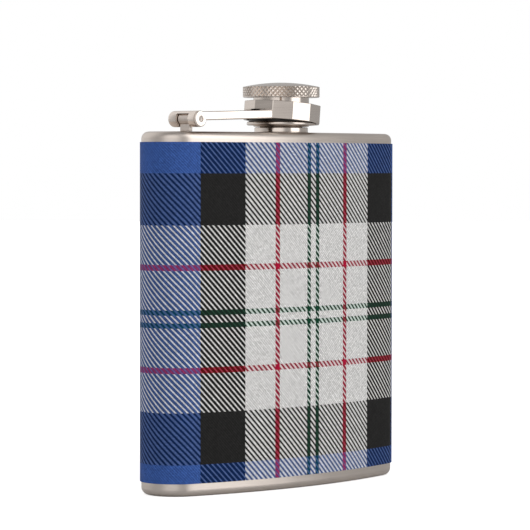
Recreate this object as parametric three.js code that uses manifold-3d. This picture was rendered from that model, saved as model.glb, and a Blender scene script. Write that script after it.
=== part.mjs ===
// A kidney-section hip flask with a captive screw cap on a double-hinged arm.
// Millimetres, +Z up, front face towards -Y. The origin is the centre of the base on the resting plane.

import * as THREE from 'three';
import { mergeVertices } from 'three/addons/utils/BufferGeometryUtils.js';
import Module from 'manifold-3d';

const wasm = await Module();
wasm.setup();

// ---------- driving dimensions ----------

const DEG = Math.PI / 180;
const GAP = 0.1; // clearance between pieces that are pressed or bonded together
const PAST = 1; // how far a cutter runs past the face it opens

// Body: two arcs about one centre, closed by two round ends.
const bodyWidth = 94.2;
const bodyHeight = 100.8;
const frontRadius = 151.8;
const endRadius = 9.7;
const frontY = -12.1; // the middle of the front face
const wall = 0.6;
const rimFillet = 2;
const baseRim = 5.2; // height of the base plate's turned-up edge, hidden under the wrap
const topRim = 4.6; // depth of the top plate's turned-down edge, hidden under the wrap

// Printed wrap round the body.
const wrapBottom = 3.65;
const wrapTop = 97.9;
const wrapThickness = 0.3;
const wrapSeam = 0.5; // width of the butt seam at the middle of the back

// Neck.
const neckY = -1.75;
const neckBaseRadius = 7.5;
const neckBaseTop = 102.3;
const neckRadius = 6;
const neckTop = 109;
const boreRadius = 4.8;
const spigotRadius = 6.6;
const spigotDepth = 1.1; // below the top face of the body

// Screw thread, one start. The crests of the two threads clear each other.
const pitch = 1;
const neckThreadCrest = 6.4;
const neckThreadFrom = 105;
const neckThreadTurns = 2;
const capThreadCrest = 6.9;
const capThreadFrom = 103.9;
const capThreadTurns = 2.5;
const threadFoot = 0.75; // width of a thread at its root
const threadTip = 0.25;

// Cap: a threaded barrel with a bottom lip, pressed into a knurled knob.
const barrelRadius = 7.95;
const barrelBore = 7.3;
const barrelBottom = 102.5;
const barrelCeiling = 110.15;
const barrelTop = 112;
const lipRadius = 9.85;
const lipTop = 103.7;
const lipTopRadius = 9.2; // its side slopes in to this
const lipEdge = 0.3;
const knobRadius = 10.95;
const knobBottom = 110.8;
const knobEdgeTop = 113.7;
const knobTop = 115.05;
const knobBevel = 0.3;
const gasketRadius = 7;
const washerInner = 8.1;
const washerOuter = 9.2;
const washerThickness = 1;

// Collar: a twelve-sided ring, loose on the barrel, that has settled at a tilt.
const collarSides = 12;
const collarRadius = 11.2; // to the corners
const collarHeight = 4.95;
const collarBevel = 0.3;
const collarX = 0.3; // its centre, off the neck's axis by part of its play
const collarZ = 106.36;
const collarTilt = 5.6 * DEG; // hinge side up
const collarBore = 8.65;
const collarRecessRadius = 10.1; // lets the lip nest in its underside
const collarRecessDepth = 2.9;
const collarCutX = -9.7; // the arm's end lies beyond this, under the overhang
const collarCutDepth = 2.55;

// Shoulder hinge: a rolled knuckle on a thin post, inside a slot in the arm's round end.
const hingeX = -38;
const hingeY = -2.2;
const hingeZ = 104.26;
const pinRadius = 0.95;
const pinRunning = 0.1; // radial clearance of a pin that turns in its hole
const knuckleRadius = 1.6;
const postWidth = 3.7; // along the hinge's axis
const postLeft = -0.87; // the post's two faces, from the hinge's axis
const postRight = 0.43;

// Arm.
const armWidth = 11.3;
const armRound = 2.25; // radius of the end round the hinge
const armRoundEdge = 0.45;
const armTop = 1.97; // the bar's faces, from the hinge's axis
const armBottom = -0.4;
const armTilt = 1.8 * DEG; // rising towards the cap
const armEndX = -9.75;
const slotWidth = 5.1;
const slotRound = 1.8; // leaves a bridge of metal over the knuckle
const slotTop = 1.75; // the bridge's edge, which stops the arm when it is open
const slotRight = 0.95;

// Second hinge, between the arm and the collar.
const pivotX = -10.95;
const pivotZ = 105.9;
const pivotPinRadius = 0.6;
const lugWidth = 3.6;
const lugRadius = 1.1;
const lugTop = 108.6; // inside the collar's top
const forkGap = 0.2;
const forkDepth = 3; // from the arm's end

// Facet counts.
const outlineSteps = 7; // per arc of the body's outline, which three.js doubles
const roundSides = 48;
const smallSides = 24;
const threadSteps = 20; // per turn

// ---------- materials ----------

const metal = (name, color, roughness) =>
  new THREE.MeshStandardMaterial({ name, color, roughness, metalness: 1 });

const plain = (name, color, roughness) =>
  new THREE.MeshStandardMaterial({ name, color, roughness, metalness: 0 });

const satinSteel = metal('satin_steel', 0xb8b0a8, 0.35);
const polishedSteel = metal('polished_steel', 0xd8d4ce, 0.12);
const printedWrap = plain('printed_wrap', 0x5a6a9a, 0.5);
const nylon = plain('dark_nylon', 0x26221f, 0.55);
const silicone = plain('white_silicone', 0xe6e4de, 0.6);

// ---------- solids ----------

/** A closed three.js geometry as a manifold solid: vertices merged, collapsed triangles dropped. */
function solid(geometry) {
  const bare = geometry.clone();
  bare.deleteAttribute('normal');
  bare.deleteAttribute('uv');
  const merged = mergeVertices(bare, 1e-4);
  const corners = merged.index.array;
  const kept = [];
  for (let i = 0; i < corners.length; i += 3) {
    const [a, b, c] = corners.slice(i, i + 3);
    if (a !== b && b !== c && c !== a) kept.push(a, b, c);
  }
  return new wasm.Manifold(
    new wasm.Mesh({
      numProp: 3,
      vertProperties: new Float32Array(merged.attributes.position.array),
      triVerts: new Uint32Array(kept),
    }),
  );
}

/** A manifold solid as a three.js geometry. */
function geometryOf(body) {
  const mesh = body.getMesh();
  const geometry = new THREE.BufferGeometry();
  geometry.setAttribute('position', new THREE.BufferAttribute(new Float32Array(mesh.vertProperties), 3));
  geometry.setIndex(new THREE.BufferAttribute(new Uint32Array(mesh.triVerts), 1));
  geometry.computeVertexNormals();
  return geometry;
}

/** A solid of revolution about Z, from [radius, height] points. */
function turned(points, sides = roundSides) {
  const profile = points.map(([r, z]) => new THREE.Vector2(r, z));
  const geometry = new THREE.LatheGeometry(profile, sides);
  geometry.rotateX(Math.PI / 2);
  return solid(geometry);
}

/** A turned ring with a hole: the profile closes on itself. */
const turnedRing = (points, sides) => turned([...points, points[0]], sides);

/** A plain disc or rod about Z. */
const rod = (radius, z0, z1, sides) =>
  turned([[0, z0], [radius, z0], [radius, z1], [0, z1]], sides);

/** A solid modelled about Z laid along Y, its axis through (x, z). */
const alongY = (body, x, z) => body.rotate([90, 0, 0]).translate([x, 0, z]);

/** A rod along Y, centred on y = 0, through (x, z). */
const crossRod = (radius, length, x, z, sides = smallSides) =>
  alongY(rod(radius, -length / 2, length / 2, sides), x, z);

/** A box between two opposite corners. */
function block([x0, y0, z0], [x1, y1, z1]) {
  const geometry = new THREE.BoxGeometry(x1 - x0, y1 - y0, z1 - z0);
  geometry.translate((x0 + x1) / 2, (y0 + y1) / 2, (z0 + z1) / 2);
  return solid(geometry);
}

/** A shape extruded along Z from z0 to z1, with its edges bevelled inwards. */
function prism(shape, z0, z1, { bevel = 0, bevelSteps = 1, steps = outlineSteps } = {}) {
  const geometry = new THREE.ExtrudeGeometry(shape, {
    depth: z1 - z0 - 2 * bevel,
    curveSegments: steps,
    bevelEnabled: bevel > 0,
    bevelThickness: bevel,
    bevelSize: bevel,
    bevelOffset: -bevel,
    bevelSegments: bevelSteps,
  });
  geometry.translate(0, 0, z0 + bevel);
  return solid(geometry);
}

/** One helical thread about Z, its root sunk into the wall it stands on. */
function thread(rootRadius, crestRadius, from, turns) {
  const outwards = Math.sign(crestRadius - rootRadius);
  const sunk = rootRadius - 0.15 * outwards;
  const section = [
    [sunk, -threadFoot / 2],
    [crestRadius, -threadTip / 2],
    [crestRadius, threadTip / 2],
    [sunk, threadFoot / 2],
  ];
  const corners = section.length;
  const count = Math.round(turns * threadSteps);
  const runOut = threadSteps / 5; // the thread fades over this many steps at each end
  const positions = [];
  const triangles = [];
  for (let i = 0; i <= count; i += 1) {
    const angle = (2 * Math.PI * i) / threadSteps;
    const fade = Math.min(1, (Math.min(i, count - i) + 0.2) / runOut);
    for (const [r, z] of section) {
      const radius = sunk + (r - sunk) * fade;
      const height = from + (pitch * i) / threadSteps + z;
      positions.push(radius * Math.cos(angle), radius * Math.sin(angle), height);
    }
  }
  for (let i = 0; i < count; i += 1) {
    for (let j = 0; j < corners; j += 1) {
      const a = i * corners + j;
      const b = i * corners + ((j + 1) % corners);
      triangles.push(a, a + corners, b, b, a + corners, b + corners);
    }
  }
  const last = count * corners;
  triangles.push(0, 1, 2, 0, 2, 3);
  triangles.push(last, last + 2, last + 1, last, last + 3, last + 2);
  if (outwards < 0) triangles.reverse();
  const geometry = new THREE.BufferGeometry();
  geometry.setAttribute('position', new THREE.Float32BufferAttribute(positions, 3));
  geometry.setIndex(triangles);
  return solid(geometry);
}

// ---------- the body's outline ----------

const arcY = frontY + frontRadius; // the shared centre of the front and back arcs
const midRadius = frontRadius - endRadius;
const endX = bodyWidth / 2 - endRadius;
const halfAngle = Math.asin(endX / midRadius);
const endY = arcY - midRadius * Math.cos(halfAngle);

/** The body's kidney outline, grown outwards by the given amount; a seam, if any, opens the back. */
function kidney(grow = 0) {
  const down = -Math.PI / 2;
  const shape = new THREE.Shape();
  shape.absarc(0, arcY, frontRadius + grow, down - halfAngle, down + halfAngle, false);
  shape.absarc(endX, endY, endRadius + grow, down + halfAngle, down + halfAngle + Math.PI, false);
  const backRadius = midRadius - endRadius - grow;
  shape.absarc(0, arcY, backRadius, down + halfAngle, down - halfAngle, true);
  const leftFrom = down - halfAngle + Math.PI;
  shape.absarc(-endX, endY, endRadius + grow, leftFrom, leftFrom + Math.PI, false);
  return shape;
}

// ---------- pieces of the flask ----------

function bodyShell() {
  const inside = wall + GAP; // it slips inside the turned edges of the two plates
  const z0 = rimFillet; // its ends stop where the plates begin to curve in
  const z1 = bodyHeight - rimFillet;
  const outer = prism(kidney(-inside), z0, z1);
  const inner = prism(kidney(-inside - wall), z0 - PAST, z1 + PAST);
  return outer.subtract(inner);
}

/** A pressed plate: a flat face with a filleted, turned edge of the given depth, opening downwards. */
function pressedPlate(edge) {
  const tall = 3 * edge;
  const outer = prism(kidney(), -tall, 0, { bevel: rimFillet, bevelSteps: 4 });
  const innerFillet = rimFillet - wall;
  const inner = prism(kidney(-wall), -tall, -wall, { bevel: innerFillet, bevelSteps: 4 });
  const half = bodyWidth;
  const below = block([-half, -half, -tall - PAST], [half, half, -edge]);
  return outer.subtract(inner).subtract(below);
}

function topPlate() {
  const hole = rod(spigotRadius + GAP, -2 * rimFillet, PAST).translate([0, neckY, 0]);
  return pressedPlate(topRim).subtract(hole).translate([0, 0, bodyHeight]);
}

function basePlate() {
  return pressedPlate(baseRim).mirror([0, 0, 1]);
}

function tartanWrap() {
  const outer = prism(kidney(GAP + wrapThickness), wrapBottom, wrapTop);
  const inner = prism(kidney(GAP), wrapBottom - PAST, wrapTop + PAST);
  const backY = arcY - midRadius + endRadius;
  const seam = block(
    [-wrapSeam / 2, backY - 2 * PAST, wrapBottom - PAST],
    [wrapSeam / 2, backY + 2 * PAST, wrapTop + PAST],
  );
  return outer.subtract(inner).subtract(seam);
}

function neckSpout() {
  const foot = bodyHeight + GAP / 2;
  const chamfer = 0.4;
  const spout = turnedRing([
    [boreRadius, bodyHeight - spigotDepth],
    [spigotRadius, bodyHeight - spigotDepth],
    [spigotRadius, foot],
    [neckBaseRadius, foot],
    [neckBaseRadius, neckBaseTop],
    [neckRadius, neckBaseTop],
    [neckRadius, neckTop - chamfer],
    [neckRadius - chamfer, neckTop],
    [boreRadius, neckTop],
  ]);
  return spout.add(thread(neckRadius, neckThreadCrest, neckThreadFrom, neckThreadTurns));
}

function hingePost() {
  const foot = bodyHeight + GAP / 2 - hingeZ;
  const shape = new THREE.Shape();
  shape.moveTo(postLeft, foot);
  shape.lineTo(postRight, foot);
  const rightSide = -Math.acos(postRight / knuckleRadius);
  const leftSide = Math.PI + Math.acos(-postLeft / knuckleRadius);
  shape.absarc(0, 0, knuckleRadius, rightSide, leftSide, false);
  shape.closePath();
  const post = alongY(prism(shape, -postWidth / 2, postWidth / 2, { steps: 10 }), hingeX, hingeZ);
  return post.subtract(crossRod(pinRadius + pinRunning, 2 * postWidth, hingeX, hingeZ));
}

// ---------- pieces of the arm ----------

/** A turned bar along Y with rounded edges, as wide as the arm. */
function roundedBar(radius, edge, x, z, sides) {
  const half = armWidth / 2;
  const mid = edge * (1 - Math.SQRT1_2);
  const points = [
    [0, -half],
    [radius - edge, -half],
    [radius - mid, -half + mid],
    [radius, -half + edge],
    [radius, half - edge],
    [radius - mid, half - mid],
    [radius - edge, half],
    [0, half],
  ];
  return alongY(turned(points, sides), x, z);
}

/** The arm level, with the hinge's axis at x = 0, z = 0. */
function levelArm() {
  const half = armWidth / 2;
  const end = armEndX - hingeX;
  const bar = block([0, -half, armBottom], [end, half, armTop]);
  const slot = block(
    [-2 * armRound, -slotWidth / 2, -2 * armRound],
    [slotRight, slotWidth / 2, slotTop],
  );
  const slotEnd = crossRod(slotRound, slotWidth, 0, 0);
  const fork = block(
    [end - forkDepth, -lugWidth / 2 - forkGap, armBottom - PAST],
    [end + PAST, lugWidth / 2 + forkGap, armTop + PAST],
  );
  const pinHole = crossRod(pinRadius + GAP / 2, 2 * armWidth, 0, 0);
  return bar
    .add(roundedBar(armRound, armRoundEdge, 0, 0, roundSides))
    .subtract(slot)
    .subtract(slotEnd)
    .subtract(fork)
    .subtract(pinHole);
}

function armLink() {
  const placed = levelArm().rotate([0, -armTilt / DEG, 0]).translate([hingeX, 0, hingeZ]);
  return placed.subtract(crossRod(pivotPinRadius + GAP / 2, 2 * armWidth, pivotX, pivotZ));
}

/** A pin along Y, its rounded ends flush with the arm's two sides. */
const crossPin = (radius, x, z) => roundedBar(radius, radius / 3, x, z, smallSides);

// ---------- the collar ----------

function twelveSided() {
  const outline = new THREE.Shape();
  for (let i = 0; i < collarSides; i += 1) {
    const angle = (2 * Math.PI * i) / collarSides;
    const x = collarRadius * Math.cos(angle);
    const y = collarRadius * Math.sin(angle);
    if (i === 0) outline.moveTo(x, y);
    else outline.lineTo(x, y);
  }
  return outline;
}

function collar() {
  const half = collarHeight / 2;
  const far = 2 * collarRadius;
  const ring = prism(twelveSided(), -half, half, { bevel: collarBevel })
    .subtract(rod(collarBore, -collarHeight, collarHeight))
    .subtract(rod(collarRecessRadius, -collarHeight, collarRecessDepth - half));
  const cut = block([-far, -far, -collarHeight], [collarCutX, far, collarCutDepth - half]);
  const placed = ring
    .subtract(cut)
    .rotate([0, collarTilt / DEG, 0])
    .translate([collarX, 0, collarZ]);
  const lug = crossRod(lugRadius, lugWidth, pivotX, pivotZ).add(
    block([pivotX - GAP, -lugWidth / 2, pivotZ], [pivotX + lugRadius, lugWidth / 2, lugTop]),
  );
  const pinHole = crossRod(pivotPinRadius + pinRunning, armWidth, pivotX, pivotZ);
  const lugY = hingeY - neckY; // the lug lies in the arm's own plane
  return placed.add(lug.subtract(pinHole).translate([0, lugY, 0]));
}

// ---------- pieces of the cap ----------

function capBarrel() {
  const cup = turned([
    [0, barrelCeiling],
    [barrelBore, barrelCeiling],
    [barrelBore, barrelBottom],
    [lipRadius - lipEdge, barrelBottom],
    [lipRadius, barrelBottom + lipEdge],
    [lipTopRadius, lipTop],
    [barrelRadius, lipTop],
    [barrelRadius, barrelTop],
    [0, barrelTop],
  ]);
  return cup.add(thread(barrelBore, capThreadCrest, capThreadFrom, capThreadTurns));
}

function capKnob() {
  const rise = knobTop - knobEdgeTop;
  const domeRadius = (knobRadius ** 2 + rise ** 2) / (2 * rise);
  const dome = [];
  const domeSteps = 6;
  for (let i = domeSteps; i >= 0; i -= 1) {
    const r = ((knobRadius - knobBevel) * i) / domeSteps;
    dome.push([r, knobTop - domeRadius + Math.sqrt(domeRadius ** 2 - r ** 2)]);
  }
  return turned([
    [0, barrelTop + GAP],
    [barrelRadius + GAP, barrelTop + GAP],
    [barrelRadius + GAP, knobBottom],
    [knobRadius - knobBevel, knobBottom],
    [knobRadius, knobBottom + knobBevel],
    [knobRadius, knobEdgeTop - knobBevel],
    ...dome,
  ]);
}

function slipWasher() {
  const z0 = lipTop + GAP / 2;
  return turnedRing([
    [washerInner, z0],
    [washerOuter, z0],
    [washerOuter, z0 + washerThickness],
    [washerInner, z0 + washerThickness],
  ]);
}

const capGasket = () => rod(gasketRadius, neckTop + GAP / 2, barrelCeiling - GAP / 2);

// ---------- assembly ----------

const flask = new THREE.Group();
const onNeck = new THREE.Group();
const onHinge = new THREE.Group();
onNeck.position.y = neckY;
onHinge.position.y = hingeY;
flask.add(onNeck, onHinge);

function place(parent, name, body, material) {
  const mesh = new THREE.Mesh(geometryOf(body), material);
  mesh.name = name;
  parent.add(mesh);
}

place(flask, 'body_shell', bodyShell(), satinSteel);
place(flask, 'top_plate', topPlate(), satinSteel);
place(flask, 'base_plate', basePlate(), satinSteel);
place(flask, 'tartan_wrap', tartanWrap(), printedWrap);
place(onNeck, 'neck_spout', neckSpout(), satinSteel);
place(onHinge, 'hinge_post', hingePost(), satinSteel);
place(onHinge, 'arm_link', armLink(), polishedSteel);
place(onHinge, 'hinge_pin', crossPin(pinRadius, hingeX, hingeZ), satinSteel);
place(onHinge, 'collar_pin', crossPin(pivotPinRadius, pivotX, pivotZ), satinSteel);
place(onNeck, 'collar', collar(), polishedSteel);
place(onNeck, 'slip_washer', slipWasher(), nylon);
place(onNeck, 'cap_gasket', capGasket(), silicone);
place(onNeck, 'cap_barrel', capBarrel(), satinSteel);
place(onNeck, 'cap_knob', capKnob(), satinSteel);

export default flask;
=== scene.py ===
"""A steel hip flask with a printed tartan wrap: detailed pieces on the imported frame, and a studio."""

import math

import bmesh
import bpy
from mathutils import Matrix, Quaternion, Vector


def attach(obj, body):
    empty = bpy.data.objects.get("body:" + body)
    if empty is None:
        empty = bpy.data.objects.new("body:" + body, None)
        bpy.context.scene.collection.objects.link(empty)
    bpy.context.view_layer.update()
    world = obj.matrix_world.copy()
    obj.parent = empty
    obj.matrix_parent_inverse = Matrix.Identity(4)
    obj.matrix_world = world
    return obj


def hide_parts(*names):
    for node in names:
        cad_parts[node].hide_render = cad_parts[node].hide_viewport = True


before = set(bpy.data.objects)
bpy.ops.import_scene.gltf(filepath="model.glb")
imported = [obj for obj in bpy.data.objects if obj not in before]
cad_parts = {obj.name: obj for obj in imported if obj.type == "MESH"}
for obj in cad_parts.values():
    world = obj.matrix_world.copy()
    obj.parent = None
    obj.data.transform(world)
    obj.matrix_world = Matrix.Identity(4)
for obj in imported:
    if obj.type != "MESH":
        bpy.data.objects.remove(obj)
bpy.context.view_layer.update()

# ---------- sizes in millimetres, as the frame has them ----------

MM = 0.001
CENTRE = 0.3  # radius of the small flat face at the middle of a turned piece
GAP = 0.05  # between pieces that touch or are welded on the real flask

# Body: two arcs about one centre, closed by two round ends.
FRONT_RADIUS = 151.8
END_RADIUS = 9.7
END_X = 37.4
FRONT_Y = -12.1
BODY_HEIGHT = 100.8
WALL = 0.6
RIM_FILLET = 2.0
BASE_RIM = 5.2
TOP_RIM = 4.6

WRAP_BOTTOM = 3.65
WRAP_TOP = 97.9
WRAP_INSIDE = 0.1
WRAP_OUTSIDE = 0.4
WRAP_EDGE = 0.07
WRAP_EDGE_MIDDLE = 0.3  # where the rounded edge's middle point lies, as a share of WRAP_EDGE
WRAP_SEAM = 0.5

# The neck, whose axis the cap turns about.
NECK_Y = -1.75
NECK_BASE_RADIUS = 7.65
NECK_BASE_TOP = 102.3
NECK_RADIUS = 6.0
NECK_TOP = 109.0
BORE_RADIUS = 4.8
SPIGOT_RADIUS = 6.6
SPIGOT_BOTTOM = 99.7
SPIGOT_HOLE = 6.7
NECK_FILLET_WIDTH = 0.12
NECK_FILLET_HEIGHT = 0.25

# The two threads, whose crests pass clear of each other.
PITCH = 1.0
THREAD_FOOT = 0.75
THREAD_TIP = 0.25
THREAD_SUNK = 0.15
NECK_CREST = 6.4
NECK_THREAD_START = 105.0
NECK_THREAD_TURNS = 2.0
CAP_CREST = 6.9
CAP_THREAD_START = 103.9
CAP_THREAD_TURNS = 2.5

BARREL_RADIUS = 7.95
BARREL_BORE = 7.3
BARREL_BOTTOM = 102.5
BARREL_CEILING = 110.15
BARREL_TOP = 112.0
LIP_RADIUS = 9.85
LIP_BOTTOM = 102.85
LIP_TOP = 103.95
NOTCH_TURN = math.radians(-137)
NOTCH_DEPTH = 0.55
NOTCH_WIDTH = 1.0
NOTCH_BOTTOM = 109.1
NOTCH_TOP = 110.9

RING_INNER = 8.1
RING_OUTER = 9.2
RING_HEIGHT = 0.7
RING_GAP = 0.02
SEAL_RADIUS = 7.0
SEAL_CORNER = 0.15
SEAL_STEP = 0.08  # height of the step that meets the neck's rim

KNOB_RADIUS = 10.95
KNOB_BOTTOM = 110.8
KNOB_TOP = 115.05
KNURL_BOTTOM = 111.02
KNURL_TOP = 113.76
DOME_EDGE = 113.84
KNURL_COUNT = 52
KNURL_ROWS = 4
KNURL_DEPTH = 0.26
KNURL_FLAT = 0.42  # size of a diamond's flat top, as a share of the diamond
DOME_STEPS = 14
DOME_INSET = 0.08
KNOB_BEVEL = 0.25
KNOB_INSET = 0.06  # of the plain band under the knurl
SOCKET_GAP = 0.1  # round the barrel's top, which the knob is pressed on

# The shoulder hinge. Sizes of the arm and its slot are measured from this axis.
HINGE_X = -38.0
HINGE_Y = -2.2
HINGE_Z = 104.26
PIN_RADIUS = 0.95
PIN_FIT = 0.02  # round a pin where it is held
PIN_PLAY = 0.1  # and where it turns
DIMPLE_RADIUS = 0.6
DIMPLE_DEPTH = 0.18
KNUCKLE_RADIUS = 1.7
POST_WIDTH = 3.7
POST_LEFT = -0.87
POST_RIGHT = 0.43
POST_EDGE = 0.18

ARM_WIDTH = 11.3
ARM_ROUND = 2.25
ARM_TOP = 1.97
ARM_BOTTOM = -0.45
ARM_FRONT_EDGE = 0.4
ARM_REAR_EDGE = 0.95
ARM_TILT = math.radians(1.8)
ARM_END_X = -9.75
ARM_EDGE = 0.14
GROOVE_FROM_END = 0.6
GROOVE_WIDTH = 0.16
GROOVE_DEPTH = 0.16
SLOT_WIDTH = 5.1
SLOT_ROUND = 1.8
SLOT_TOP = 1.56
SLOT_REAR = 2.15
SLOT_RIGHT = 0.95

# The second hinge, between the arm's fork and the collar's lug.
PIVOT_X = -10.95
PIVOT_Z = 105.9
PIVOT_RADIUS = 0.6
PIVOT_FIT = 0.01
LUG_WIDTH = 3.6
LUG_RADIUS = 1.1
LUG_TOP = 106.95
LUG_EDGE = 0.15
FORK_GAP = 0.2
FORK_DEPTH = 3.0
LUG_FLAT = 0.1  # how far the lug's flat top reaches to the left of the pin's axis

COLLAR_RADIUS = 11.2
COLLAR_CORNER = 0.7
COLLAR_EDGE = 0.14
COLLAR_HEIGHT = 5.1
COLLAR_X = 0.3
COLLAR_Z = 106.44
COLLAR_TILT = math.radians(5.6)
COLLAR_BORE = 8.65
COLLAR_RECESS_RADIUS = 10.1
COLLAR_RECESS_DEPTH = 2.9
COLLAR_CUT_X = -9.7
COLLAR_CUT_DEPTH = 2.55
COLLAR_BEVEL = 0.2  # at the bore's top
COLLAR_RECESS_BEVEL = 0.05

# ---------- shapes ----------


def arc(cx, cy, radius, start, end, steps):
    """Points on an arc, ends included; angles in radians."""
    return [
        (
            cx + radius * math.cos(start + (end - start) * i / steps),
            cy + radius * math.sin(start + (end - start) * i / steps),
        )
        for i in range(steps + 1)
    ]


def rounded(corners, steps=4):
    """A closed outline from (x, y, radius) corners, each turned into an arc of that radius."""
    out = []
    for i, (x, y, radius) in enumerate(corners):
        here = Vector((x, y))
        if radius <= 0:
            out.append((x, y))
            continue
        before = Vector(corners[i - 1][:2]) - here
        after = Vector(corners[(i + 1) % len(corners)][:2]) - here
        half = before.angle(after) / 2
        reach = min(radius / math.tan(half), before.length / 2, after.length / 2)
        radius = reach * math.tan(half)
        middle = (before.normalized() + after.normalized()).normalized()
        centre = here + middle * radius / math.sin(half)
        first = here + before.normalized() * reach - centre
        last = here + after.normalized() * reach - centre
        start = math.atan2(first.y, first.x)
        sweep = math.remainder(math.atan2(last.y, last.x) - start, 2 * math.pi)
        out += arc(centre.x, centre.y, radius, start, start + sweep, steps)
    return out


def shape(name, points, faces):
    """A new object from points in millimetres, its faces turned outwards."""
    mesh = bpy.data.meshes.new(name)
    mesh.from_pydata([tuple(p) for p in points], [], faces)
    mesh.validate()
    work = bmesh.new()
    work.from_mesh(mesh)
    bmesh.ops.remove_doubles(work, verts=work.verts, dist=1e-5)
    bmesh.ops.recalc_face_normals(work, faces=work.faces)
    work.to_mesh(mesh)
    work.free()
    obj = bpy.data.objects.new(name, mesh)
    bpy.context.scene.collection.objects.link(obj)
    return obj


def skin(rings, loop=False):
    """Points and faces of a skin through rings of equal length, a loop of them or with two end faces."""
    count = len(rings[0])
    levels = len(rings)
    points = [p for ring in rings for p in ring]
    faces = []
    for a in range(levels if loop else levels - 1):
        b = (a + 1) % levels
        for i in range(count):
            j = (i + 1) % count
            faces.append((a * count + i, a * count + j, b * count + j, b * count + i))
    if not loop:
        faces.append(tuple(range(count)))
        faces.append(tuple(range((levels - 1) * count, levels * count)))
    return points, faces


def turned(name, profile, loop=False, sides=128, y=0.0):
    """A solid of revolution about the vertical through (0, y), from (radius, height) points."""
    angles = [2 * math.pi * i / sides for i in range(sides)]
    rings = [[(r * math.cos(a), y + r * math.sin(a), z) for a in angles] for r, z in profile]
    return shape(name, *skin(rings, loop))


def along_y(name, outline, width, y=0.0):
    """An (x, z) outline made a prism along Y, centred on y."""
    rings = [[(x, y + side * width / 2, z) for x, z in outline] for side in (-1, 1)]
    return shape(name, *skin(rings))


def block(name, low, high):
    """A box between two opposite corners."""
    outline = [(low[0], low[2]), (high[0], low[2]), (high[0], high[2]), (low[0], high[2])]
    return along_y(name, outline, high[1] - low[1], (low[1] + high[1]) / 2)


def cross_rod(name, radius, width, x, z, y=HINGE_Y, edge=0.0, sides=64):
    """A rod along Y through (x, z), its two ends rounded by edge."""
    half = width / 2
    profile = [(radius, -half), (radius, half)]
    if edge:
        profile = arc(radius - edge, -half + edge, edge, -math.pi / 2, 0, 4)
        profile += arc(radius - edge, half - edge, edge, 0, math.pi / 2, 4)
    angles = [2 * math.pi * i / sides for i in range(sides)]
    rings = [[(x + r * math.cos(a), y + w, z + r * math.sin(a)) for a in angles] for r, w in profile]
    return shape(name, *skin(rings))


def settle(obj):
    """Applies obj's modifiers."""
    graph = bpy.context.evaluated_depsgraph_get()
    mesh = bpy.data.meshes.new_from_object(obj.evaluated_get(graph))
    old = obj.data
    obj.modifiers.clear()
    obj.data = mesh
    bpy.data.meshes.remove(old)


def combine(obj, other, operation):
    """Cuts other from obj, or joins it to obj, and removes other."""
    modifier = obj.modifiers.new("boolean", "BOOLEAN")
    modifier.solver = "EXACT"
    modifier.operation = operation
    modifier.object = other
    settle(obj)
    bpy.data.objects.remove(other)


def cut(obj, *others):
    """Takes the others away from obj."""
    for other in others:
        combine(obj, other, "DIFFERENCE")


def join(obj, *others):
    """Adds the others to obj, as one solid."""
    for other in others:
        combine(obj, other, "UNION")


def soften(obj, width, segments=2, angle=40):
    """Rounds the edges sharper than angle."""
    modifier = obj.modifiers.new("bevel", "BEVEL")
    modifier.width = width
    modifier.segments = segments
    modifier.limit_method = "ANGLE"
    modifier.angle_limit = math.radians(angle)
    settle(obj)


def thread(name, root, crest, start, turns, steps=64):
    """A helical thread about the neck's axis, its root sunk into the wall, fading out at both ends."""
    outwards = math.copysign(1, crest - root)
    sunk = root - THREAD_SUNK * outwards
    shoulder = crest - 0.06 * outwards
    section = [
        (sunk, -THREAD_FOOT / 2),
        (shoulder, -THREAD_TIP / 2 - 0.05),
        (crest, -THREAD_TIP / 2 + 0.03),
        (crest, THREAD_TIP / 2 - 0.03),
        (shoulder, THREAD_TIP / 2 + 0.05),
        (sunk, THREAD_FOOT / 2),
    ]
    count = round(turns * steps)
    rings = []
    for i in range(count + 1):
        angle = 2 * math.pi * i / steps
        fade = min(1.0, (min(i, count - i) + 0.5) / (steps / 5))
        ring = []
        for r, z in section:
            radius = sunk + (r - sunk) * fade
            height = start + PITCH * i / steps + z
            ring.append((radius * math.cos(angle), NECK_Y + radius * math.sin(angle), height))
        rings.append(ring)
    return shape(name, *skin(rings))


# ---------- the kidney outline ----------

ARC_Y = FRONT_Y + FRONT_RADIUS
MID_RADIUS = FRONT_RADIUS - END_RADIUS
HALF_ANGLE = math.asin(END_X / MID_RADIUS)
END_Y = ARC_Y - MID_RADIUS * math.cos(HALF_ANGLE)
BACK_RADIUS = MID_RADIUS - END_RADIUS


def kidney(grow=0.0, front=96, end=40, back=80, gap=0.0):
    """The body's outline grown outwards, counterclockwise from the middle of the back, where gap leaves
    an opening. Returns its points, and each one's length along it from the middle of the front."""
    down = -math.pi / 2
    left = down - HALF_ANGLE
    right = down + HALF_ANGLE
    back_radius = BACK_RADIUS - grow
    start = gap / 2 / back_radius
    runs = [
        arc(0, ARC_Y, back_radius, down - start, left, back // 2),
        arc(-END_X, END_Y, END_RADIUS + grow, left + math.pi, left + 2 * math.pi, end),
        arc(0, ARC_Y, FRONT_RADIUS + grow, left, right, front),
        arc(END_X, END_Y, END_RADIUS + grow, right, right + math.pi, end),
        arc(0, ARC_Y, back_radius, right, down + start, back // 2),
    ]
    points = [runs[0][0]]
    for run in runs:
        points += run[1:]
    if not gap:
        points.pop()
    lengths = [0.0]
    for a, b in zip(points, points[1:]):
        lengths.append(lengths[-1] + math.dist(a, b))
    middle = lengths[back // 2 + end + front // 2]
    return points, [s - middle for s in lengths]


def kidney_ring(grow, z):
    """The body's outline at one height."""
    return [(x, y, z) for x, y in kidney(grow)[0]]


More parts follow.
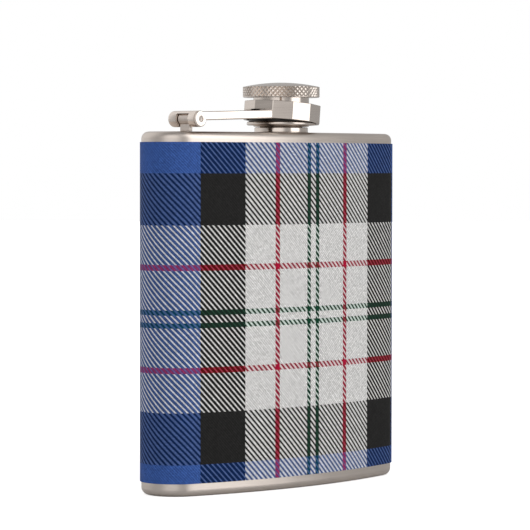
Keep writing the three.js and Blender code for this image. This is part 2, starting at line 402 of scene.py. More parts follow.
def pressed_plate(name, edge):
    """A flat plate with a filleted, turned-down edge of that depth, its top face at z = 0."""
    rings = []
    for radius, inset in ((RIM_FILLET, 0.0), (RIM_FILLET - WALL, WALL)):
        side = []
        for r, z in arc(-radius, -radius, radius, math.pi / 2, 0, 16):
            side.append(kidney_ring(r - inset, z - inset))
        side.append(kidney_ring(-inset, -edge))
        rings += side if inset == 0 else side[::-1]
    return shape(name, *skin(rings))


def wrap(name):
    """The printed sheet, with its length and height in millimetres as a UV map named cloth."""
    edge = WRAP_EDGE
    middle = WRAP_EDGE * WRAP_EDGE_MIDDLE
    section = [
        (WRAP_INSIDE, WRAP_BOTTOM),
        (WRAP_OUTSIDE - edge, WRAP_BOTTOM),
        (WRAP_OUTSIDE - middle, WRAP_BOTTOM + middle),
        (WRAP_OUTSIDE, WRAP_BOTTOM + edge),
        (WRAP_OUTSIDE, WRAP_TOP - edge),
        (WRAP_OUTSIDE - middle, WRAP_TOP - middle),
        (WRAP_OUTSIDE - edge, WRAP_TOP),
        (WRAP_INSIDE, WRAP_TOP),
    ]
    loops = [[(x, y, z) for x, y in kidney(grow, gap=WRAP_SEAM)[0]] for grow, z in section]
    lengths = kidney(WRAP_OUTSIDE, gap=WRAP_SEAM)[1]
    columns = list(zip(*loops))
    obj = shape(name, *skin(columns))
    places = {}
    for column, s in zip(columns, lengths):
        for point in column:
            places[tuple(round(c, 3) for c in point)] = s
    mesh = obj.data
    layer = mesh.uv_layers.new(name="cloth")
    for loop in mesh.loops:
        co = mesh.vertices[loop.vertex_index].co
        layer.data[loop.index].uv = (places[tuple(round(c, 3) for c in co)], co.z)
    return obj


# ---------- nodes ----------


class Tree:
    """Short calls for a node tree. A socket or a plain value may feed any input."""

    def __init__(self, tree):
        self.tree = tree
        tree.nodes.clear()

    def node(self, kind, inputs=None, **settings):
        made = self.tree.nodes.new(kind)
        for key, value in settings.items():
            setattr(made, key, value)
        for key, value in (inputs or {}).items():
            if isinstance(value, bpy.types.NodeSocket):
                self.tree.links.new(value, made.inputs[key])
            else:
                made.inputs[key].default_value = value
        return made

    def math(self, operation, *values):
        inputs = dict(enumerate(values))
        return self.node("ShaderNodeMath", inputs, operation=operation).outputs[0]

    def remap(self, value, low, high, to_low, to_high, smooth=False):
        kind = "SMOOTHSTEP" if smooth else "LINEAR"
        inputs = {0: value, 1: low, 2: high, 3: to_low, 4: to_high}
        return self.node("ShaderNodeMapRange", inputs, interpolation_type=kind).outputs[0]

    def over_noise(self, noise, low, high):
        """Spreads low to high over the middle of a noise, where most of its values lie."""
        return self.remap(noise, 0.3, 0.7, low, high)

    def mix(self, factor, a, b, **settings):
        """Two colours mixed."""
        inputs = {0: factor, 6: a, 7: b}
        return self.node("ShaderNodeMix", inputs, data_type="RGBA", **settings).outputs[2]

    def choose(self, factor, a, b):
        """The number a where factor is 0, and b where it is 1."""
        return self.node("ShaderNodeMix", {0: factor, 2: a, 3: b}, data_type="FLOAT").outputs[0]

    def times(self, a, b):
        """Two colours multiplied."""
        return self.mix(1.0, a, b, blend_type="MULTIPLY")

    def noise(self, vector, scale, detail=2.0):
        inputs = {"Vector": vector, "Scale": scale, "Detail": detail}
        return self.node("ShaderNodeTexNoise", inputs).outputs["Fac"]

    def split(self, vector):
        return self.node("ShaderNodeSeparateXYZ", {0: vector}).outputs

    def vector(self, x, y, z):
        return self.node("ShaderNodeCombineXYZ", {0: x, 1: y, 2: z}).outputs[0]

    def grey(self, colour):
        return self.node("ShaderNodeRGBToBW", {0: colour}).outputs[0]

    def hue(self, colour):
        """The colour at its full brightness, so black and white both give white."""
        parts = self.node("ShaderNodeSeparateColor", {0: colour}, mode="HSV").outputs
        inputs = {0: parts[0], 1: parts[1], 2: 1.0}
        return self.node("ShaderNodeCombineColor", inputs, mode="HSV").outputs[0]

    def finish(self, shader, kind="ShaderNodeOutputMaterial"):
        self.node(kind, {"Surface": shader})


def linear(*srgb):
    """A screen colour, 0 to 255, as a linear colour."""
    parts = [c / 255 for c in srgb]
    return [c / 12.92 if c <= 0.04045 else ((c + 0.055) / 1.055) ** 2.4 for c in parts] + [1.0]


def new_material(name):
    made = bpy.data.materials.new(name)
    made.use_nodes = True
    return made, Tree(made.node_tree)


STEEL_DARK = (0.62, 0.56, 0.515, 1.0)
STEEL_LIGHT = (0.70, 0.635, 0.585, 1.0)
STREAK_ALONG = 60.0
STREAK_ACROSS = 2600.0
GRAIN_SCALE = 9000.0
PATCH_SCALE = 160.0
STREAK_SHARE = 0.6  # of the tone; patches make the rest
STREAK_RELIEF = 0.7  # of the relief; fine grain makes the rest
RELIEF = 0.00003


def steel(name, roughness, spread, grain, turned_about=None, painted_brightness=1.0, lean=0.0):
    """Brushed steel. Its streaks run level round the sides and along X on level faces, or in circles
    about the vertical through the point turned_about. A lean tilts its shading normals towards -X."""
    made, t = new_material(name)
    place = t.node("ShaderNodeTexCoord").outputs["Object"]
    x, y, z = t.split(place)
    if turned_about is None:
        up = t.split(t.node("ShaderNodeNewGeometry").outputs["Normal"])[2]
        across = t.math("ADD", z, t.math("MULTIPLY", y, t.math("ABSOLUTE", up)))
    else:
        dx = t.math("SUBTRACT", x, turned_about[0] * MM)
        dy = t.math("SUBTRACT", y, turned_about[1] * MM)
        out = t.math("SQRT", t.math("ADD", t.math("MULTIPLY", dx, dx), t.math("MULTIPLY", dy, dy)))
        across = t.math("ADD", z, out)
    streak_place = t.vector(
        t.math("MULTIPLY", x, STREAK_ALONG),
        t.math("MULTIPLY", y, STREAK_ALONG),
        t.math("MULTIPLY", across, STREAK_ACROSS),
    )
    streaks = t.noise(streak_place, 1.0, 4.0)
    fine = t.noise(place, GRAIN_SCALE, 1.0)
    patches = t.noise(place, PATCH_SCALE, 3.0)
    shade = t.choose(STREAK_SHARE, patches, streaks)
    # painted_brightness scales the steel's tones: painted light or shade that makes one piece lighter or
    # darker than the same steel elsewhere.
    dark = [c * painted_brightness for c in STEEL_DARK[:3]] + [1.0]
    light = [c * painted_brightness for c in STEEL_LIGHT[:3]] + [1.0]
    colour = t.mix(t.over_noise(shade, 0.0, 1.0), dark, light)
    rough = t.over_noise(shade, roughness - spread, roughness + spread)
    height = t.choose(STREAK_RELIEF, fine, streaks)
    bump_inputs = {"Strength": grain, "Distance": RELIEF, "Height": height}
    if lean:
        normal = t.node("ShaderNodeNewGeometry").outputs["Normal"]
        leaning = t.node("ShaderNodeVectorMath", {0: normal, 1: (-lean, 0.0, 0.0)}, operation="ADD")
        even = t.node("ShaderNodeVectorMath", {0: leaning.outputs[0]}, operation="NORMALIZE")
        bump_inputs["Normal"] = even.outputs[0]
    bump = t.node("ShaderNodeBump", bump_inputs)
    surface = {"Base Color": colour, "Metallic": 1.0, "Roughness": rough, "Normal": bump.outputs[0]}
    t.finish(t.node("ShaderNodeBsdfPrincipled", surface).outputs[0])
    return made


# The tartan: one sett, mirrored about its middle. Each stripe is (distance from the middle, colour) and
# runs to the next. Blue ends the sett, and starts a little further out across the wrap than up it.
SETT_HALF = 53.7
WHITE = linear(217, 217, 217)
GREEN = linear(14, 66, 46)
RED = linear(176, 24, 60)
BLACK = linear(35, 35, 35)
BLUE = linear(61, 94, 160)
STRIPES = [
    (0.0, WHITE),
    (1.0, GREEN),
    (2.36, WHITE),
    (13.29, RED),
    (15.01, WHITE),
    (26.0, BLACK),
]
BLUE_FROM_X = 41.0
BLUE_FROM_Z = 40.3

# The place of the sett's middle, and its scale.
SETT_X = 2.14
SETT_Z = 49.06
SHRINK_X = 0.987
SHRINK_Z = 0.993

TWILL = 1.7  # the length in which the threads take one turn
UPRIGHT_SHARE = 0.59  # of the turn, with an upright thread on top
THREAD = TWILL / 4

# Where threads of two colours cross. ALIKE and UNLIKE are differences in brightness.
ALIKE = 0.15
UNLIKE = 0.5
DARK_SHADE = 0.76  # what a dark thread keeps of its brightness over a light one
LIGHT_SHADE = 0.89  # what a light thread keeps over a dark one
TINT = 0.15  # how much the upper thread is tinted by the hue of the lower
BLEED = 0.25  # how much it takes of the lower one's colour, at like brightness
BLEED_FAR = 0.12  # and at unlike brightness

# The tone within a thread: dark at its edges, light along its middle, with speckles and fine grain.
EDGE_TONE = 0.66
CREST_TONE = 1.16
CREST_FROM = 0.9
FIBRE_DARK = -0.12
FIBRE_LIGHT = 0.1
SPECK = 0.18
CLOUD = 0.03
CLOUD_SCALE = 900.0
FILM_SPECULAR = 0.07
FILM_BUMP = 0.12
FILM_RELIEF = 0.00004
CREST_RELIEF = 0.6
GRAIN_RELIEF = 0.8
FILM_GRAIN_SCALE = 2500.0
FILM_PATCH_SCALE = 500.0
FILM_ROUGHNESS = (0.52, 0.62)


def stripes(t, along, middle, shrink, blue_from):
    """The colour of the threads at a distance along the cloth."""
    half = SETT_HALF * shrink
    folded = t.math("PINGPONG", t.math("SUBTRACT", along, middle), half)
    ramp = t.node("ShaderNodeValToRGB", {0: t.math("DIVIDE", folded, half)})
    ramp.color_ramp.interpolation = "CONSTANT"
    stops = ramp.color_ramp.elements
    wanted = STRIPES + [(blue_from, BLUE)]
    while len(stops) < len(wanted):
        stops.new(0.5)
    for stop, (start, colour) in zip(stops, wanted):
        stop.position = start / SETT_HALF
        stop.color = colour
    return ramp.outputs[0]


def tartan(name):
    """A twill printed on smooth vinyl: upright and level threads take turns on top along diagonals."""
    made, t = new_material(name)
    cloth = t.node("ShaderNodeUVMap", uv_map="cloth").outputs[0]
    u, v, _ = t.split(cloth)
    uprights = stripes(t, u, SETT_X, SHRINK_X, BLUE_FROM_X)
    levels = stripes(t, v, SETT_Z, SHRINK_Z, BLUE_FROM_Z)
    turn = t.math("FRACT", t.math("DIVIDE", t.math("ADD", u, v), TWILL))
    upright = t.math("LESS_THAN", turn, UPRIGHT_SHARE)
    own = t.mix(upright, levels, uprights)
    other = t.mix(upright, uprights, levels)

    above = t.math("SUBTRACT", t.grey(own), t.grey(other))
    rise = t.vector(above, above, above)
    lifted = t.node("ShaderNodeVectorMath", {0: other, 1: rise}, operation="ADD").outputs[0]
    tinted = t.mix(TINT, own, t.times(own, t.hue(other)))
    bleed = t.remap(t.math("ABSOLUTE", above), ALIKE, UNLIKE, BLEED, BLEED_FAR)
    weave = t.mix(bleed, tinted, lifted, clamp_result=True)
    dark_shade = t.remap(above, -UNLIKE, 0.0, DARK_SHADE, 1.0)
    light_shade = t.remap(above, 0.0, UNLIKE, 1.0, LIGHT_SHADE)
    shaded = t.math("MULTIPLY", dark_shade, light_shade)

    upright_place = t.math("DIVIDE", turn, UPRIGHT_SHARE)
    level_place = t.math("DIVIDE", t.math("SUBTRACT", turn, UPRIGHT_SHARE), 1 - UPRIGHT_SHARE)
    across = t.choose(upright, level_place, upright_place)
    crown = t.math("MULTIPLY", t.math("PINGPONG", across, 0.5), 2.0)
    fibre = t.math("PINGPONG", t.math("DIVIDE", t.choose(upright, u, v), THREAD), 0.5)
    crest = t.remap(crown, 0.0, CREST_FROM, EDGE_TONE, CREST_TONE)
    lit = t.math("ADD", crest, t.remap(fibre, 0.0, 0.5, FIBRE_DARK, FIBRE_LIGHT))
    place = t.node("ShaderNodeTexCoord").outputs["Object"]
    cloudy = t.over_noise(t.noise(place, CLOUD_SCALE, 3.0), 1 - CLOUD, 1 + CLOUD)
    grid = {0: cloth, 1: (THREAD, THREAD, THREAD)}
    cell = t.node("ShaderNodeVectorMath", grid, operation="SNAP").outputs[0]
    speck = t.node("ShaderNodeTexWhiteNoise", {"Vector": cell}, noise_dimensions="2D").outputs["Value"]
    speckled = t.math("MULTIPLY", cloudy, t.remap(speck, 0.0, 1.0, 1 - SPECK, 1 + SPECK))
    lit = t.math("MULTIPLY", t.math("MULTIPLY", lit, speckled), shaded)
    tone = t.node("ShaderNodeCombineColor", {0: lit, 1: lit, 2: lit}).outputs[0]

    grain = t.noise(place, FILM_GRAIN_SCALE, 2.0)
    crests = t.math("MULTIPLY", crown, CREST_RELIEF)
    height = t.math("ADD", crests, t.math("MULTIPLY", grain, GRAIN_RELIEF))
    bump = t.node("ShaderNodeBump", {"Strength": FILM_BUMP, "Distance": FILM_RELIEF, "Height": height})
    surface = {
        "Base Color": t.times(weave, tone),
        "Roughness": t.over_noise(t.noise(place, FILM_PATCH_SCALE, 3.0), *FILM_ROUGHNESS),
        "Specular IOR Level": FILM_SPECULAR,
        "Normal": bump.outputs[0],
    }
    t.finish(t.node("ShaderNodeBsdfPrincipled", surface).outputs[0])
    return made


def soft_plastic(name, dark, light, roughness, scale):
    """Two close tones and a fine matt grain, for the silicone seal and for the slip ring, whose near-black
    is painted shade.
    """
    made, t = new_material(name)
    place = t.node("ShaderNodeTexCoord").outputs["Object"]
    mottle = t.noise(place, scale, 4.0)
    colour = t.mix(t.over_noise(mottle, 0.0, 1.0), dark, light)
    bump = t.node("ShaderNodeBump", {"Strength": 0.2, "Distance": 0.00005, "Height": mottle})
    rough = t.over_noise(mottle, roughness - 0.06, roughness + 0.06)
    surface = {"Base Color": colour, "Roughness": rough, "Normal": bump.outputs[0]}
    t.finish(t.node("ShaderNodeBsdfPrincipled", surface).outputs[0])
    return made


# ---------- pieces ----------

satin = steel("satin_steel", 0.33, 0.04, 0.12)
satin_turned = steel("satin_steel_turned", 0.17, 0.04, 0.12, (0, NECK_Y))
satin_neck = steel("satin_steel_neck", 0.13, 0.03, 0.08, (0, NECK_Y))
# The collar and the arm are one polished steel: the arm's colour is painted lighter, a painted highlight,
# and the collar's a touch darker, painted shade.
polished = steel("polished_steel", 0.15, 0.03, 0.06, painted_brightness=0.98, lean=-0.13)
polished_arm_painted_lighter = steel("polished_steel_arm_painted_lighter", 0.14, 0.03, 0.06, painted_brightness=1.2, lean=0.16)
knurled = steel("knurled_steel", 0.17, 0.03, 0.06, (0, NECK_Y))
printed = tartan("printed_wrap")
# The slip ring's near-black tones are painted shade: it sits in the shadow under the collar.
slip_ring_shade = soft_plastic("dark_nylon", linear(24, 20, 17), linear(44, 38, 33), 0.38, 1200.0)
silicone = soft_plastic("white_silicone", linear(214, 211, 202), linear(236, 234, 228), 0.55, 900.0)


def dress(obj, body, node, material, angle=32):
    """Turns a finished shape into a piece: in metres, smooth, with its material and place in the frame."""
    mesh = obj.data
    mesh.transform(Matrix.Scale(MM, 4))
    mesh.materials.clear()
    mesh.materials.append(material)
    for polygon in mesh.polygons:
        polygon.use_smooth = True
        polygon.material_index = 0
    mesh.set_sharp_from_angle(angle=math.radians(angle))
    normals = obj.modifiers.new("normals", "WEIGHTED_NORMAL")
    normals.keep_sharp = True
    settle(obj)
    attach(obj, body)
    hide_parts(node)


def make_flask():
    """The plates, the wrap, the neck and the hinge's post."""
    top = pressed_plate("top_plate_formed", TOP_RIM)
    cut(top, turned("hole", [(SPIGOT_HOLE, -3), (SPIGOT_HOLE, 1)], y=NECK_Y))
    top.data.transform(Matrix.Translation((0, 0, BODY_HEIGHT)))
    dress(top, "flask", "top_plate", satin)

    base = pressed_plate("base_plate_formed", BASE_RIM)
    base.data.transform(Matrix.Scale(-1, 4, (0, 0, 1)))
    base.data.flip_normals()
    dress(base, "flask", "base_plate", satin)

    dress(wrap("printed_tartan_wrap"), "flask", "tartan_wrap", printed)

    spout = turned(
        "threaded_neck",
        rounded(
            [
                (BORE_RADIUS, SPIGOT_BOTTOM, 0.1),
                (SPIGOT_RADIUS, SPIGOT_BOTTOM, 0.1),
                (SPIGOT_RADIUS, BODY_HEIGHT + GAP, 0),
                (NECK_BASE_RADIUS + NECK_FILLET_WIDTH, BODY_HEIGHT + GAP, 0.05),
                (NECK_BASE_RADIUS, BODY_HEIGHT + NECK_FILLET_HEIGHT, 0.1),
                (NECK_BASE_RADIUS, NECK_BASE_TOP, 0.25),
                (NECK_RADIUS, NECK_BASE_TOP, 0.2),
                (NECK_RADIUS, NECK_TOP, 0.5),
                (BORE_RADIUS, NECK_TOP, 0.3),
            ]
        ),
        loop=True,
        y=NECK_Y,
    )
    join(spout, thread("neck_thread", NECK_RADIUS, NECK_CREST, NECK_THREAD_START, NECK_THREAD_TURNS))
    dress(spout, "flask", "neck_spout", satin_neck)

    foot = BODY_HEIGHT + GAP - HINGE_Z
    right = -math.acos(POST_RIGHT / KNUCKLE_RADIUS)
    left = math.pi + math.acos(-POST_LEFT / KNUCKLE_RADIUS)
    outline = [(POST_LEFT, foot), (POST_RIGHT, foot)] + arc(0, 0, KNUCKLE_RADIUS, right, left, 40)
    post = along_y("hinge_knuckle_post", outline, POST_WIDTH, HINGE_Y)
    soften(post, POST_EDGE, 3, 60)
    cut(post, cross_rod("hole", PIN_RADIUS + PIN_PLAY, 2 * POST_WIDTH, 0, 0))
    post.data.transform(Matrix.Translation((HINGE_X, 0, HINGE_Z)))
    dress(post, "flask", "hinge_post", satin)


def arm_outline(inset):
    """The arm's side view, the hinge's axis at the origin: a round end running into a flat bar."""
    radius = ARM_ROUND - inset
    top = ARM_TOP - inset
    bottom = ARM_BOTTOM + inset
    end = ARM_END_X - HINGE_X - inset
    start = math.asin(top / radius)
    stop = 2 * math.pi + math.asin(bottom / radius)
    return [(end, bottom), (end, top)] + arc(0, 0, radius, start, stop, 60)


def make_arm():
    """The arm with its slot and fork, and the two hinges' pins."""
    half = ARM_WIDTH / 2
    rings = []
    for side, edge in ((-1, ARM_FRONT_EDGE), (1, ARM_REAR_EDGE)):
        for inset, step in arc(edge, edge, edge, math.pi, 3 * math.pi / 2, 4)[:: -side]:
            rings.append([(x, side * (half - inset), z) for x, z in arm_outline(step)])
    arm = shape("double_hinged_arm", *skin(rings))
    end = ARM_END_X - HINGE_X
    slot = block(
        "slot",
        (-2 * ARM_ROUND, -SLOT_WIDTH / 2, -2 * ARM_ROUND),
        (SLOT_RIGHT, SLOT_REAR, SLOT_TOP),
    )
    fork = block(
        "fork",
        (end - FORK_DEPTH, -LUG_WIDTH / 2 - FORK_GAP, ARM_BOTTOM - 1),
        (end + 1, LUG_WIDTH / 2 + FORK_GAP, ARM_TOP + 1),
    )
    round_end = SLOT_WIDTH / 2 + SLOT_REAR
    cut(arm, slot, cross_rod("slot_end", SLOT_ROUND, round_end, 0, 0, SLOT_REAR - round_end / 2), fork)
    soften(arm, ARM_EDGE, 2, 50)
    groove_at = -half + GROOVE_FROM_END
    outer = cross_rod("groove", 2 * ARM_ROUND, GROOVE_WIDTH, 0, 0, groove_at)
    cut(outer, cross_rod("core", ARM_ROUND - GROOVE_DEPTH, 1, 0, 0, groove_at))
    cut(arm, outer)
    cut(arm, cross_rod("hole", PIN_RADIUS + PIN_FIT, 2 * ARM_WIDTH, 0, 0, 0))
    place = Matrix.Translation((HINGE_X, HINGE_Y, HINGE_Z)) @ Matrix.Rotation(-ARM_TILT, 4, "Y")
    arm.data.transform(place)
    cut(arm, cross_rod("hole", PIVOT_RADIUS + PIVOT_FIT, 2 * ARM_WIDTH, PIVOT_X, PIVOT_Z))
    dress(arm, "arm", "arm_link", polished_arm_painted_lighter)

    pin = cross_rod("shoulder_pin", PIN_RADIUS, ARM_WIDTH, HINGE_X, HINGE_Z, edge=0.05)
    for side in (-1, 1):
        end_y = HINGE_Y + side * half
        dimple = cross_rod("dimple", DIMPLE_RADIUS, 2 * DIMPLE_DEPTH, HINGE_X, HINGE_Z, end_y, 0.1, 32)
        cut(pin, dimple)
    dress(pin, "arm", "hinge_pin", satin)
    pin = cross_rod("link_pin", PIVOT_RADIUS, ARM_WIDTH, PIVOT_X, PIVOT_Z, edge=0.03)
    dress(pin, "arm", "collar_pin", polished_arm_painted_lighter)


def make_collar():
    """The twelve-sided ring with its recess and the lug that the arm's fork holds."""
    half = COLLAR_HEIGHT / 2
    far = 2 * COLLAR_RADIUS
    angles = [math.pi * i / 6 for i in range(12)]
    corners = [(COLLAR_RADIUS * math.cos(a), COLLAR_RADIUS * math.sin(a), COLLAR_CORNER) for a in angles]
    outline = rounded(corners, 3)
    collar = shape("twelve_sided_collar", *skin([[(x, y, z) for x, y in outline] for z in (-half, half)]))
    soften(collar, COLLAR_EDGE, 3, 60)
    deep = COLLAR_RECESS_DEPTH - half
    bore = turned(
        "bore",
        [
            (COLLAR_RECESS_RADIUS + 1, -half - 1),
            (COLLAR_RECESS_RADIUS, -half + COLLAR_RECESS_BEVEL),
            (COLLAR_RECESS_RADIUS, deep),
            (COLLAR_BORE, deep),
            (COLLAR_BORE, half - COLLAR_BEVEL),
            (COLLAR_BORE + COLLAR_BEVEL + 1, half + 1),
        ],
    )
    under = block("under", (-far, -far, -COLLAR_HEIGHT), (COLLAR_CUT_X, far, COLLAR_CUT_DEPTH - half))
    cut(collar, bore, under)
    collar.data.transform(
        Matrix.Translation((COLLAR_X, NECK_Y, COLLAR_Z)) @ Matrix.Rotation(COLLAR_TILT, 4, "Y")
    )
    outline = [(LUG_RADIUS, LUG_TOP - PIVOT_Z), (-LUG_FLAT, LUG_TOP - PIVOT_Z), (-LUG_FLAT, LUG_RADIUS)]
    outline += arc(0, 0, LUG_RADIUS, math.pi * 0.55, 2 * math.pi, 32)
    lug = along_y("lug", outline, LUG_WIDTH, HINGE_Y)
    soften(lug, LUG_EDGE, 2, 60)
    lug.data.transform(Matrix.Translation((PIVOT_X, 0, PIVOT_Z)))
    join(collar, lug)
    cut(collar, cross_rod("hole", PIVOT_RADIUS + PIN_PLAY, 6, PIVOT_X, PIVOT_Z))
    dress(collar, "collar", "collar", polished)


def make_seal():
    """The slip ring on the cap's lip, and the seal in its ceiling."""
    low = LIP_TOP + RING_GAP
    high = low + RING_HEIGHT
    section = [
        (RING_INNER, low, 0.15),
        (RING_OUTER, low, 0.15),
        (RING_OUTER, high, 0.2),
        (RING_INNER, high, 0.2),
    ]
    washer = turned("slip_ring", rounded(section), loop=True, y=NECK_Y)
    dress(washer, "seal", "slip_washer", slip_ring_shade)

    low = NECK_TOP + GAP
    high = BARREL_CEILING - GAP
    step = low + SEAL_STEP
    corner = SEAL_RADIUS - SEAL_CORNER
    profile = [(CENTRE, low), (BORE_RADIUS - 0.4, low), (BORE_RADIUS - 0.2, step)]
    profile += [(NECK_RADIUS + 0.2, step), (NECK_RADIUS + 0.4, low)]
    profile += arc(corner, low + SEAL_CORNER, SEAL_CORNER, -math.pi / 2, 0, 4)
    profile += arc(corner, high - SEAL_CORNER, SEAL_CORNER, 0, math.pi / 2, 4)
    profile.append((CENTRE, high))
    dress(turned("cap_seal", profile, y=NECK_Y), "seal", "cap_gasket", silicone)


def knurled_knob():
    """The knob: turned rings, with a band of cut diamonds between two of them."""
    step = 2 * math.pi / KNURL_COUNT
    tall = (KNURL_TOP - KNURL_BOTTOM) / KNURL_ROWS
    deep = KNOB_RADIUS - KNURL_DEPTH
    points = []
    index = {}
    faces = []

    def at(column, row, radius):
        """The point that many half columns and rows up the band, made once."""
        column %= 2 * KNURL_COUNT
        key = (round(column, 4), round(row, 4))
        if key not in index:
            index[key] = len(points)
            angle = column * step / 2
            z = KNURL_BOTTOM + row * tall
            points.append((radius * math.cos(angle), NECK_Y + radius * math.sin(angle), z))
        return index[key]

    for row in range(KNURL_ROWS + 1):
        for column in range(2 * KNURL_COUNT):
            if (column + row) % 2 == 0:
                continue
            reach = [(1, 0), (0, 1), (-1, 0), (0, -1)]
            inner = []
            outer = []
            for dc, dr in reach:
                if not 0 <= row + dr <= KNURL_ROWS:
                    inner.append(None)
                    outer.append(None)
                    continue
                inner.append(at(column + dc * KNURL_FLAT, row + dr * KNURL_FLAT, KNOB_RADIUS))
                outer.append(at(column + dc, row + dr, deep))
            faces.append([p for p in inner if p is not None])
            for k in range(4):
                ends = (inner[k], outer[k], outer[(k + 1) % 4], inner[(k + 1) % 4])
                if None not in ends:
                    faces.append(list(ends))
    # The band's two edges pass three points to each diamond; the turned rings take the same angles.
    columns = []
    for column in range(0, 2 * KNURL_COUNT, 2):
        columns += [column, column + 1 - KNURL_FLAT, column + 1 + KNURL_FLAT]

    def ring(radius, z):
        """Adds a turned ring and returns its points' numbers."""
        first = len(points)
        for column in columns:
            angle = column * step / 2
            points.append((radius * math.cos(angle), NECK_Y + radius * math.sin(angle), z))
        return list(range(first, first + len(columns)))

    def sew(a, b):
        """Faces between two rings."""
        for i in range(len(columns)):
            j = (i + 1) % len(columns)
            faces.append([a[i], a[j], b[j], b[i]])

    def run(profile, start=None):
        """Faces through the rings of a profile, from the ring start if there is one. Returns the last."""
        last = start
        for radius, z in profile:
            made = ring(radius, z)
            if last:
                sew(last, made)
            last = made
        return last

    socket = BARREL_RADIUS + SOCKET_GAP
    ceiling = BARREL_TOP + SOCKET_GAP
    band = KNOB_RADIUS - KNOB_INSET
    rise = KNOB_TOP - DOME_EDGE
    dome_edge_radius = KNOB_RADIUS - DOME_INSET
    dome_radius = (dome_edge_radius**2 + rise**2) / (2 * rise)
    dome = []
    for i in range(DOME_STEPS):
        r = dome_edge_radius * (1 - i / DOME_STEPS) + CENTRE * i / DOME_STEPS
        dome.append((r, KNOB_TOP - dome_radius + math.sqrt(dome_radius**2 - r * r)))
    under = [(CENTRE, ceiling), (socket, ceiling), (socket, KNOB_BOTTOM + 0.1)]
    under += [(socket + 0.1, KNOB_BOTTOM), (KNOB_RADIUS - KNOB_BEVEL, KNOB_BOTTOM)]
    under += [(band, KNOB_BOTTOM + 0.1), (band, KNURL_BOTTOM - 0.05)]
    first = len(points)
    last = run(under)
    faces.append(list(range(first, first + len(columns))))
    bottom_edge = [at(c, 0, 0) for c in columns]
    sew(last, bottom_edge)
    top_edge = [at(c, KNURL_ROWS, 0) for c in columns]
    last = run([(KNOB_RADIUS - 0.02, KNURL_TOP + 0.04)] + dome, top_edge)
    faces.append(last)
    return shape("knurled_cap_knob", points, faces)


def make_cap():
    """The barrel with its lip, notch and thread, and the knob."""
    shell = rounded(
        [
            (CENTRE, BARREL_CEILING, 0),
            (BARREL_BORE, BARREL_CEILING, 0.2),
            (BARREL_BORE, BARREL_BOTTOM, 0.15),
            (BARREL_BORE + 0.5, BARREL_BOTTOM, 0.15),
            (BARREL_BORE + 0.8, LIP_BOTTOM, 0.1),
            (LIP_RADIUS, LIP_BOTTOM, 0.42),
            (LIP_RADIUS, LIP_TOP, 0.5),
            (BARREL_RADIUS, LIP_TOP, 0.1),
            (BARREL_RADIUS, BARREL_TOP, 0.1),
            (CENTRE, BARREL_TOP, 0),
        ]
    )
    barrel = turned("threaded_cap_barrel", shell, y=NECK_Y)
    outline = [(BARREL_RADIUS - NOTCH_DEPTH, 0.0)]
    outline += [(BARREL_RADIUS + 0.3, side * NOTCH_WIDTH / 2) for side in (-1, 1)]
    notch = shape("notch", *skin([[(x, y, z) for x, y in outline] for z in (NOTCH_BOTTOM, NOTCH_TOP)]))
    notch.data.transform(Matrix.Translation((0, NECK_Y, 0)) @ Matrix.Rotation(NOTCH_TURN, 4, "Z"))
    cut(barrel, notch)
    join(barrel, thread("cap_thread", BARREL_BORE, CAP_CREST, CAP_THREAD_START, CAP_THREAD_TURNS))
    dress(barrel, "cap", "cap_barrel", satin_turned)
    dress(knurled_knob(), "cap", "cap_knob", knurled, angle=20)


def dress_shell():
    """The body shell keeps its mesh and gets the same steel as the plates."""
    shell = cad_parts["body_shell"]
    shell.data.materials.clear()
    shell.data.materials.append(satin)


make_flask()
make_arm()
make_collar()
make_seal()
make_cap()
dress_shell()

# ---------- studio ----------

# Softboxes as (azimuth from the front towards +X, half width, half the soft edge's width, brightness).
# Angles are in degrees.
SOFTBOXES = [
    (18.5, 20.5, 5.0, 1.75),
    (-60.0, 25.0, 12.0, 0.72),
    (-172.0, 38.0, 22.0, 0.42),
]
SOFTBOX_FADE = (45, 75)  # the heights between which the softboxes fade out
AMBIENT = 0.47
CEILING = 0.34
CEILING_FADE = (30, 80)  # the heights between which the walls turn into the ceiling
ROOM_COLOUR = (1.0, 0.985, 0.97, 1.0)
FILL = 1.22  # how much brighter the room is for matt surfaces
FLOOR_RADIUS = 4000.0
FLOOR_DEPTH = 10.0
FLOOR_SIDES = 96


def light_studio():
    """A room with softboxes, which lights the scene, and a white backdrop for the camera."""
    world = bpy.data.worlds.new("studio")
    bpy.context.scene.world = world
    world.use_nodes = True
    t = Tree(world.node_tree)
    x, y, z = t.split(t.node("ShaderNodeTexCoord").outputs["Generated"])
    azimuth = t.math("ARCTAN2", x, t.math("MULTIPLY", y, -1.0))
    height = t.math("ARCSINE", z)
    panels = 0.0
    for middle, half, soft, brightness in SOFTBOXES:
        away = t.math("SUBTRACT", azimuth, math.radians(middle))
        away = t.math("ABSOLUTE", t.math("WRAP", away, math.pi, -math.pi))
        inside, outside = math.radians(half - soft), math.radians(half + soft)
        lit = t.remap(away, inside, outside, brightness, 0.0, smooth=True)
        panels = t.math("ADD", lit, panels)
    low, high = [math.radians(angle) for angle in SOFTBOX_FADE]
    panels = t.math("MULTIPLY", panels, t.remap(height, low, high, 1.0, 0.0, smooth=True))
    low, high = [math.radians(angle) for angle in CEILING_FADE]
    walls = t.remap(height, low, high, AMBIENT, CEILING, smooth=True)
    seen = t.node("ShaderNodeLightPath").outputs["Is Camera Ray"]
    strength = t.math("ADD", panels, walls)
    spread = t.node("ShaderNodeLightPath").outputs["Is Diffuse Ray"]
    strength = t.math("MULTIPLY", strength, t.remap(spread, 0.0, 1.0, 1.0, FILL))
    room = t.node("ShaderNodeBackground", {"Color": ROOM_COLOUR, "Strength": strength})
    backdrop = t.node("ShaderNodeBackground", {"Color": (1.0, 1.0, 1.0, 1.0), "Strength": 1.0})
    mixed = t.node("ShaderNodeMixShader", {0: seen, 1: room.outputs[0], 2: backdrop.outputs[0]})
    t.finish(mixed.outputs[0], "ShaderNodeOutputWorld")


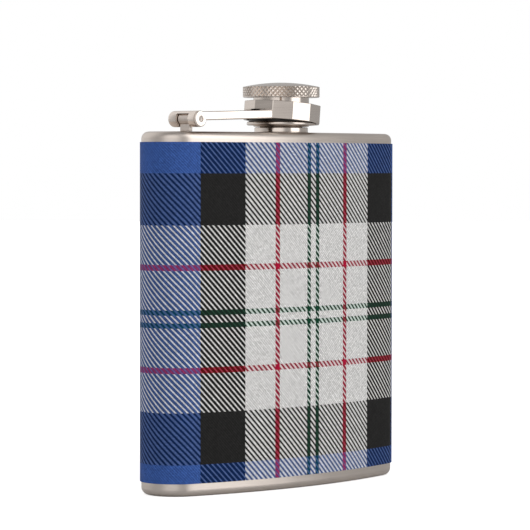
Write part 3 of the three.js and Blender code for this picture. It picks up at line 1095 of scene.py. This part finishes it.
def lay_floor():
    """A round floor, white to the camera, and darker and glossier to other rays."""
    angles = [2 * math.pi * i / FLOOR_SIDES for i in range(FLOOR_SIDES)]
    edge = [(FLOOR_RADIUS * math.cos(a), FLOOR_RADIUS * math.sin(a)) for a in angles]
    rings = [[(x, y, z) for x, y in edge] for z in (-FLOOR_DEPTH, 0.0)]
    floor = shape("studio_floor", *skin(rings))
    floor.data.transform(Matrix.Scale(MM, 4))
    made, t = new_material("studio_floor")
    seen = t.node("ShaderNodeLightPath").outputs["Is Camera Ray"]
    surface = {"Base Color": (0.82, 0.82, 0.82, 1.0), "Roughness": 0.7}
    glow = {"Emission Color": (1.0, 1.0, 1.0, 1.0), "Emission Strength": 0.62}
    paper = t.node("ShaderNodeBsdfPrincipled", surface | glow)
    surface = {"Base Color": (0.6, 0.6, 0.6, 1.0), "Roughness": 0.22, "Specular IOR Level": 1.0}
    sheen = t.node("ShaderNodeBsdfPrincipled", surface)
    both = t.node("ShaderNodeMixShader", {0: seen, 1: sheen.outputs[0], 2: paper.outputs[0]})
    t.finish(both.outputs[0])
    floor.data.materials.append(made)


CAMERA_PLACE = (-0.60887, -0.58894, 0.09136)
CAMERA_LENS = 201.04
CAMERA_PITCH = math.radians(1.92)
CAMERA_HEADING = math.radians(44.27)
CAMERA_ROLL = math.radians(0.08)


def set_camera():
    """A long lens at the front left, a little below the shoulder and aimed slightly down."""
    data = bpy.data.cameras.new("camera")
    camera = bpy.data.objects.new("camera", data)
    bpy.context.scene.collection.objects.link(camera)
    data.sensor_width = 36.0
    data.lens = CAMERA_LENS
    data.clip_start = 0.05
    data.clip_end = 50.0
    camera.location = CAMERA_PLACE
    reach = math.cos(CAMERA_PITCH)
    aim = Vector((
        math.cos(CAMERA_HEADING) * reach,
        math.sin(CAMERA_HEADING) * reach,
        -math.sin(CAMERA_PITCH),
    ))
    level = aim.to_track_quat("-Z", "Y")
    camera.rotation_euler = (level @ Quaternion((0, 0, 1), CAMERA_ROLL)).to_euler()
    bpy.context.scene.camera = camera


light_studio()
lay_floor()
set_camera()
bpy.context.scene.view_settings.view_transform = "Standard"
